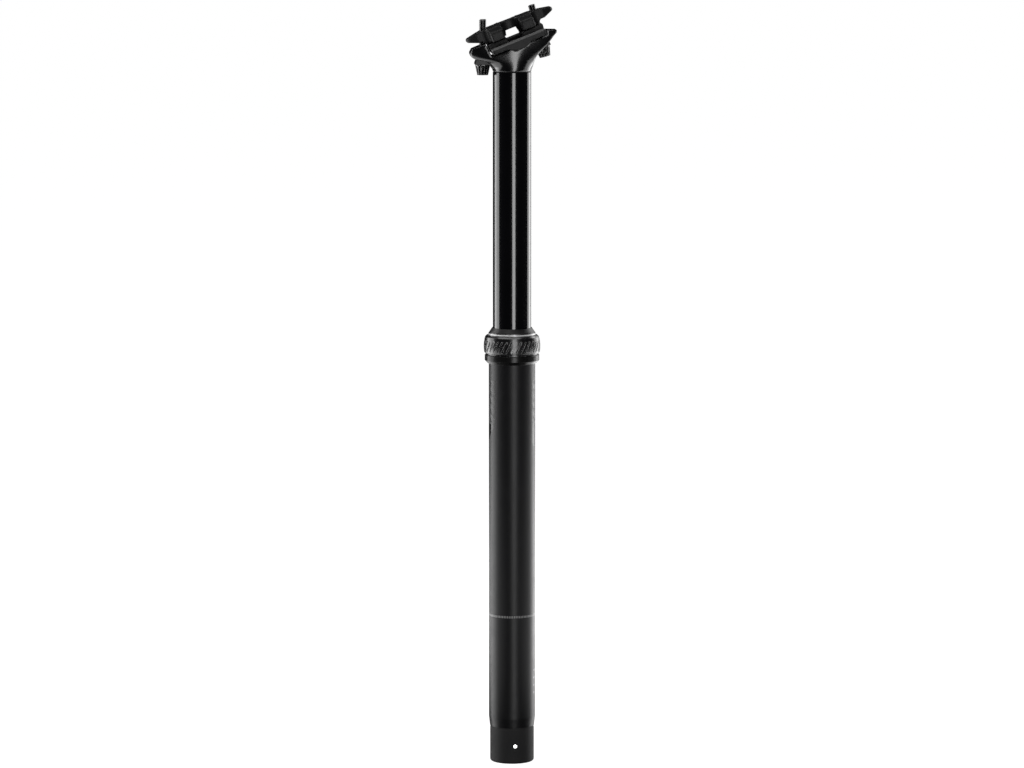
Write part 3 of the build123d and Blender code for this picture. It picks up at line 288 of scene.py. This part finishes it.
anodised = {
    "colour": grey(0.004, 0.1), "colourTo": grey(0.006, 0.1), "driftSize": 40 * mm,
    "metal": 0.0, "ior": 1.55, "roughness": 0.3, "spread": 0.03, "smudge": 0.04,
    "grainSize": 0.25 * mm, "grainHeight": 0.002 * mm, "edge": 0.18 * mm,
    "wearAndEdgeHighlight": 0.25, "patchy": 1.0, "bareAndHighlightColour": grey(0.45), "bareRoughness": 0.3, "bareMetal": 1.0,
}
steel = dict(
    anodised, colour=grey(0.5), colourTo=grey(0.58), metal=1.0, roughness=0.25, smudge=0.08,
    wearAndEdgeHighlight=0.0, bareAndHighlightColour=grey(0.6),
)
finishes = {
    "tube_black": dict(
        anodised, colour=grey(0.003, 0.15), colourTo=grey(0.0042, 0.15), ior=1.26, roughness=0.37,
        grainSize=0.12 * mm, grainHeight=0.006 * mm, wearAndEdgeHighlight=0.3,
    ),
    "stanchion_black": dict(
        anodised, colour=grey(0.0015, 0.2), colourTo=grey(0.0025, 0.2), roughness=0.12, spread=0.01,
        smudge=0.01, grainHeight=0.0003 * mm, turning=0.08 * mm, turningHeight=0.0002 * mm, wearAndEdgeHighlight=0.1,
    ),
    # the head's lighter edge colour is mostly a painted highlight along the rims of its arms and trough
    "head_black": dict(
        anodised, colour=grey(0.002, 0.15), colourTo=grey(0.003, 0.15), roughness=0.19, spread=0.02,
        smudge=0.02, grainSize=0.4 * mm, grainHeight=0.001 * mm, edge=1.3 * mm, wearAndHighlightRadius=0.3 * mm,
        wearAndEdgeHighlight=0.6, patchy=0.4, bareAndHighlightColour=grey(0.08), bareMetal=0.0,
    ),
    # the collar's lighter edge colour draws painted highlight lines along its knurl grooves
    "collar_black": dict(
        anodised, colour=grey(0.003, 0.1), colourTo=grey(0.005, 0.1), roughness=0.2,
        turning=0.12 * mm, turningHeight=0.0006 * mm, edge=0.2 * mm,
        wearAndEdgeHighlight=1.0, patchy=0.1, bareAndHighlightColour=grey(0.5), bareMetal=0.0,
    ),
    # the clamp's lighter edge colour draws painted highlight lines along its block, lip and wing edges
    "clamp_black": dict(
        anodised, colour=grey(0.004, 0.05), colourTo=grey(0.006, 0.05), ior=1.23, roughness=0.44,
        grainSize=0.2 * mm, grainHeight=0.003 * mm, edge=1.4 * mm, wearAndHighlightRadius=0.35 * mm,
        wearAndEdgeHighlight=0.8, patchy=0.4, bareAndHighlightColour=grey(0.15), bareMetal=0.0,
    ),
    "cap_black": dict(
        anodised, colour=grey(0.008, 0.05), colourTo=grey(0.011, 0.05), ior=1.32, roughness=0.72,
        turning=0.14 * mm, turningHeight=0.002 * mm, wearAndEdgeHighlight=0.35,
    ),
    "bolt_black": dict(
        anodised, colour=grey(0.05), colourTo=grey(0.08), metal=1.0, roughness=0.2, spread=0.04,
        grainSize=0.3 * mm, edge=0.12 * mm, wearAndEdgeHighlight=0.5,
    ),
    "nut_steel": dict(
        anodised, colour=grey(0.008), colourTo=grey(0.014), metal=0.2, roughness=0.32,
        edge=0.12 * mm, wearAndEdgeHighlight=0.8,
    ),
    "washer_black": dict(
        anodised, colour=grey(0.003), colourTo=grey(0.005), ior=1.25, edge=0.12 * mm, wearAndEdgeHighlight=0.9,
    ),
    "pin_steel": dict(steel, roughness=0.22, turning=0.06 * mm, turningHeight=0.001 * mm),
    "spring_steel": dict(steel, metal=0.15, roughness=0.3),
    "lever_aluminium": dict(
        steel, colour=grey(0.62), colourTo=grey(0.7), roughness=0.34,
        grainSize=0.15 * mm, grainHeight=0.004 * mm,
    ),
    "cartridge_aluminium": dict(
        steel, colour=grey(0.6), colourTo=grey(0.66), roughness=0.3,
        turning=0.1 * mm, turningHeight=0.002 * mm,
    ),
    "key_brass": dict(
        steel, colour=(0.68, 0.47, 0.2, 1), colourTo=(0.74, 0.54, 0.26, 1), roughness=0.3,
        bareAndHighlightColour=(0.8, 0.6, 0.3, 1),
    ),
    "bushing_plastic": dict(
        anodised, colour=grey(0.1, -0.1), colourTo=grey(0.13, -0.1), ior=1.5, roughness=0.5,
        grainHeight=0.004 * mm, wearAndEdgeHighlight=0.1, bareAndHighlightColour=grey(0.2),
    ),
    "seal_rubber": dict(
        anodised, colour=grey(0.005), colourTo=grey(0.008), ior=1.3, roughness=0.36, spread=0.05,
        grainSize=0.3 * mm, grainHeight=0.004 * mm, wearAndEdgeHighlight=0.0, bareAndHighlightColour=grey(0.05), bareRoughness=0.6,
    ),
}
paints = {"tube_black": paintTube, "head_black": paintHead, "clamp_black": paintClamp}
materials = {}
for slotName, look in finishes.items():
    materials[slotName] = makeFinish(slotName + "_finish", look, paints.get(slotName))
slotOf = {part["node"]: part["material_slot"] for part in frame["record"]["subparts"]}
for nodeName, nodeObject in nodes.items():
    for slot in nodeObject.material_slots:
        slot.material = materials[slotOf[nodeName]]
print("finishes made:", len(materials))


# Mesh helpers. Points nearer than a weld gap become one.

weldGap, cadWeldGap, cutGap = 0.001 * mm, 0.0005 * mm, 1e-9


def copyNode(name):  # a CAD node's mesh is loose triangles, so its copy is merged
    mesh = bmesh.new()
    mesh.from_mesh(nodes[name].data)
    bmesh.ops.remove_doubles(mesh, verts=mesh.verts[:], dist=cadWeldGap)
    return mesh


def cutFlat(mesh, spot, direction, keepFar):  # cuts on a plane, closes the cut and gives its face
    cut = bmesh.ops.bisect_plane(
        mesh, geom=mesh.verts[:] + mesh.edges[:] + mesh.faces[:], dist=cutGap,
        plane_co=spot, plane_no=direction, clear_inner=keepFar, clear_outer=not keepFar,
    )
    rim = [item for item in cut["geom_cut"] if isinstance(item, bmesh.types.BMEdge)]
    return bmesh.ops.contextual_create(mesh, geom=rim)["faces"]


def toPiece(mesh, name, material, smoothAngle=30):
    data = bpy.data.meshes.new(name)
    mesh.to_mesh(data)
    mesh.free()
    data.materials.append(material)
    piece = bpy.data.objects.new(name, data)
    bpy.context.collection.objects.link(piece)
    data.shade_smooth()
    data.set_sharp_from_angle(angle=radians(smoothAngle))
    return piece


# Clamp bolts with real threads, in place of the plain CAD shanks. Each has the CAD head, cut just above
# its seat, and a thread that is turned up from one tooth. A tooth's corners have their height in pitches.

bolts = {
    "pitch": 0.8, "crest": 2.5, "root": 2.04, "steps": 24, "spareTurns": 3,
    "tooth": (
        ("root", -2.0), ("root", -1.88), ("crest", -1.56), ("crest", -1.44), ("root", -1.12), ("root", -1.0),
    ),
    "start": 0.6, "overlap": 0.2, "tipChamfer": 0.45, "tipShare": 0.8,
    "front": {"seat": (-19.8, 202.7), "nut": (-19.7924, 223.5279), "length": 30.3},
    "rear": {"seat": (20.5, 214.7), "nut": (14.5171, 236.8357), "length": 29.0},
}


def makeThread(length):
    mesh = bmesh.new()
    pitch, up = bolts["pitch"] * mm, Vector((0, 0, 1))
    turns = int(length / bolts["pitch"]) + bolts["spareTurns"]
    points = [mesh.verts.new((bolts[radius] * mm, 0, level * pitch)) for radius, level in bolts["tooth"]]
    for first, second in zip(points, points[1:]):
        mesh.edges.new((first, second))
    bmesh.ops.spin(
        mesh, geom=mesh.verts[:] + mesh.edges[:], cent=(0, 0, 0), axis=up, dvec=up * pitch / bolts["steps"],
        angle=2 * pi * turns, steps=bolts["steps"] * turns,
    )
    bmesh.ops.remove_doubles(mesh, verts=mesh.verts[:], dist=weldGap)
    cutFlat(mesh, up * bolts["start"] * mm, up, True)
    top = cutFlat(mesh, up * (length - bolts["tipChamfer"]) * mm, up, False)
    tip = bmesh.ops.extrude_face_region(mesh, geom=top)["geom"]
    tipPoints = [item for item in tip if isinstance(item, bmesh.types.BMVert)]
    bmesh.ops.translate(mesh, verts=tipPoints, vec=up * bolts["tipChamfer"] * mm)
    bmesh.ops.scale(mesh, verts=tipPoints, vec=(bolts["tipShare"], bolts["tipShare"], 1))
    bmesh.ops.delete(mesh, geom=top, context="FACES_ONLY")
    bmesh.ops.recalc_face_normals(mesh, faces=mesh.faces[:])
    return mesh


for end in ("front", "rear"):
    seat, nut = (Vector((bolts[end][key][0], 0, bolts[end][key][1])) * mm for key in ("seat", "nut"))
    direction = (nut - seat).normalized()
    upright = Matrix.Translation(seat) @ direction.to_track_quat("Z", "Y").to_matrix().to_4x4()
    whole = copyNode(end + "_bolt")
    cutFlat(whole, seat + direction * (bolts["start"] + bolts["overlap"]) * mm, direction, False)
    thread = makeThread(bolts[end]["length"])
    bmesh.ops.transform(thread, matrix=upright, verts=thread.verts[:])
    threadData = bpy.data.meshes.new("thread")
    thread.to_mesh(threadData)
    thread.free()
    whole.from_mesh(threadData)
    bpy.data.meshes.remove(threadData)
    piece = toPiece(whole, end + "_bolt_threaded", materials["bolt_black"])
    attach(piece, end + "_bolt_set")
    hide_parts(end + "_bolt")
print("bolts threaded")


# The head, with its sides eased so that their crest runs straight up from the stanchion. Each level has
# its height in mm above the foot, and the middle and half length of the column there.

head = {
    "foot": 197.8, "crest": 0.6, "reach": 8.0, "easedFrom": 2.0,
    "pinch": 0.03, "pinchReach": 9.0, "pinchFrom": 3.0, "pinchTo": 11.0,
    "levels": (
        (0, 0, 13), (2, -0.1, 13.5), (5, -1.2, 16.4), (8, -4.7, 23.9),
        (13, -4.2, 31.6), (20, -1.6, 38), (30, 1, 43.2),
    ),
}


def easeHead(place):
    level = place.z / mm - head["foot"]
    if level <= 0:
        return place
    pair = next(pair for pair in zip(head["levels"], head["levels"][1:]) if level <= pair[1][0])
    (low, lowMiddle, lowHalf), (high, highMiddle, highHalf) = pair
    share = (level - low) / (high - low)
    middle = lowMiddle + (highMiddle - lowMiddle) * share
    half = lowHalf + (highHalf - lowHalf) * share
    offset, out = head["crest"] - middle, place.x / mm - head["crest"]
    lean = offset / (half ** 2 - offset ** 2) * head["reach"] * tanh(out / head["reach"])
    grown = min(max((level - head["pinchFrom"]) / (head["pinchTo"] - head["pinchFrom"]), 0), 1)
    pinch = head["pinch"] * grown * (1 - exp(-(out / head["pinchReach"]) ** 2))
    eased = (1 + lean * min(level / head["easedFrom"], 1)) * (1 - pinch)
    return Vector((place.x, place.y * eased, place.z))


headMesh = copyNode("saddle_head")
for vertex in headMesh.verts:
    vertex.co = easeHead(vertex.co)
headPiece = toPiece(headMesh, "saddle_head_eased", materials["head_black"])
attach(headPiece, "upper")
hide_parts("saddle_head")
print("head eased")


# A thin steel ring under the wiper's edge, in mm

wiperRing = {"radius": 15.6, "height": 20.1, "thick": 1.2, "around": 192, "across": 16, "smoothAngle": 60}
ringMesh = bmesh.new()
radius = wiperRing["thick"] / 2 * mm
hoop = bmesh.ops.create_circle(ringMesh, segments=wiperRing["across"], radius=radius)["verts"]
bmesh.ops.rotate(ringMesh, verts=hoop, cent=(0, 0, 0), matrix=Matrix.Rotation(pi / 2, 3, "X"))
bmesh.ops.translate(ringMesh, verts=hoop, vec=(wiperRing["radius"] * mm, 0, wiperRing["height"] * mm))
bmesh.ops.spin(
    ringMesh, geom=ringMesh.verts[:] + ringMesh.edges[:], cent=(0, 0, 0), axis=(0, 0, 1),
    angle=2 * pi, steps=wiperRing["around"], use_merge=True,
)
bmesh.ops.recalc_face_normals(ringMesh, faces=ringMesh.faces[:])
ringPiece = toPiece(ringMesh, "wiper_ring", materials["spring_steel"], wiperRing["smoothAngle"])
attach(ringPiece, "lower")
print("wiper ring made")


# The jaw ribs, round bars with rounded ends, let into the jaw's sides

for side, name in ((-1, "right_jaw_rib"), (1, "left_jaw_rib")):
    ribMesh = bmesh.new()
    start, end = (Vector((spot[0], rib["side"] * side, spot[1])) * mm for spot in (rib["front"], rib["rear"]))
    turned = Matrix.Translation((start + end) / 2) @ (end - start).to_track_quat("Z", "Y").to_matrix().to_4x4()
    bmesh.ops.create_cone(
        ribMesh, cap_ends=True, segments=rib["around"], radius1=rib["radius"] * mm,
        radius2=rib["radius"] * mm, depth=(end - start).length, matrix=turned,
    )
    capEdges = [edge for edge in ribMesh.edges if any(len(face.verts) > 4 for face in edge.link_faces)]
    bmesh.ops.bevel(
        ribMesh, geom=capEdges, offset=rib["round"] * mm, segments=rib["roundSteps"], profile=0.5,
        affect="EDGES", material=-1,
    )
    ribPiece = toPiece(ribMesh, name, materials["clamp_black"], rib["smoothAngle"])
    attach(ribPiece, "clamp")
print("jaw ribs made")


# A pale floor that the camera sees as plain white, and that throws no light of its own on the post

floorLook = {
    "Base Color": grey(0.16), "Roughness": 1.0, "Specular IOR Level": 0.0,
    "Emission Color": grey(1.0), "Emission Strength": 1.0,
}
floorSize = 40
floorMaterial = bpy.data.materials.new("floor_pale")
floorMaterial.use_nodes = True
floorShader = floorMaterial.node_tree.nodes["Principled BSDF"]
for socketName, value in floorLook.items():
    floorShader.inputs[socketName].default_value = value
floorMesh = bmesh.new()
bmesh.ops.create_grid(floorMesh, x_segments=1, y_segments=1, size=floorSize)
bmesh.ops.translate(floorMesh, verts=floorMesh.verts[:], vec=(0, 0, floorHeight))
floor = toPiece(floorMesh, "floor", floorMaterial)
floor.visible_glossy = floor.visible_diffuse = floor.visible_shadow = False


# A long lens, a little above the post and turned to one side

view = {
    "turn": radians(4), "pitch": radians(7), "distance": 3.058, "lookHeight": -0.01435,
    "focalPixels": 4500, "imageWidth": 1024, "sensor": 36, "clipEnd": 100,
}
towardsCamera = Vector((-sin(view["turn"]), -cos(view["turn"]), 0))
towardsRight = Vector((cos(view["turn"]), -sin(view["turn"]), 0))
forward = -towardsCamera * cos(view["pitch"]) + Vector((0, 0, -sin(view["pitch"])))
cameraData = bpy.data.cameras.new("camera")
cameraData.sensor_width = view["sensor"]
cameraData.lens = view["focalPixels"] / view["imageWidth"] * view["sensor"]
cameraData.clip_end = view["clipEnd"]
camera = bpy.data.objects.new("camera", cameraData)
camera.location = Vector((0, 0, view["lookHeight"])) - forward * view["distance"]
camera.rotation_euler = forward.to_track_quat("-Z", "Y").to_euler()
bpy.context.collection.objects.link(camera)
bpy.context.scene.camera = camera


# Tall soft lights stand round the post, at an angle counted from the camera's side, right side positive.
# One more hangs above it, and two lie on the floor and light its undersides.

tallLights = {
    "left": {"angle": -116.5, "distance": 1.5, "width": 0.5, "glow": 5.0},
    "left_soft": {"angle": -96, "distance": 1.5, "width": 0.62, "glow": 3.7},
    "right": {"angle": 132.5, "distance": 1.6, "width": 0.48, "glow": 5.2},
    "right_soft": {"angle": 115.5, "distance": 1.6, "width": 0.48, "glow": 2.8},
    "back": {"angle": 153, "distance": 1.6, "width": 0.62, "glow": 1.4},
    "strip": {"angle": 11, "distance": 2.5, "width": 0.74, "glow": 7.0},
}
tallLight = {"tall": 2.6, "height": 0.1}
topLight = {"spot": (-0.2, -0.1, 1.7), "target": (0, 0, 0.2), "size": 1.6, "glow": 2.8}
floorLight = {"aside": 0.8, "behind": 0.3, "lift": 0.01, "size": 1.3, "glow": 2.3}


def addLight(name, spot, target, width, tall, glow):
    data = bpy.data.lights.new(name, "AREA")
    data.shape = "RECTANGLE"
    data.size, data.size_y = width, tall
    data.energy = glow * width * tall * pi
    light = bpy.data.objects.new(name, data)
    light.location = spot
    light.rotation_euler = (target - spot).to_track_quat("-Z", "Y").to_euler()
    light.visible_camera = False
    bpy.context.collection.objects.link(light)


target = Vector((0, 0, tallLight["height"]))
for name, light in tallLights.items():
    turn = radians(light["angle"])
    spot = (towardsCamera * cos(turn) + towardsRight * sin(turn)) * light["distance"] + target
    addLight("light_" + name, spot, target, light["width"], tallLight["tall"], light["glow"])
size = topLight["size"]
addLight("light_top", Vector(topLight["spot"]), Vector(topLight["target"]), size, size, topLight["glow"])
size = floorLight["size"]
for name, side in (("light_floor_left", -1), ("light_floor_right", 1)):
    spot = Vector((floorLight["aside"] * side, floorLight["behind"], floorHeight + floorLight["lift"]))
    addLight(name, spot, spot + Vector((0, 0, 1)), size, size, floorLight["glow"])

# White behind the post, for the camera alone
world = bpy.data.worlds.new("studio")
bpy.context.scene.world = world
world.use_nodes = True
background = world.node_tree.nodes["Background"]
background.inputs["Color"].default_value = grey(1.0)
background.inputs["Strength"].default_value = 1.0
world.cycles_visibility.glossy = world.cycles_visibility.diffuse = False
bpy.context.scene.view_settings.view_transform = "Standard"
print("stage lit")
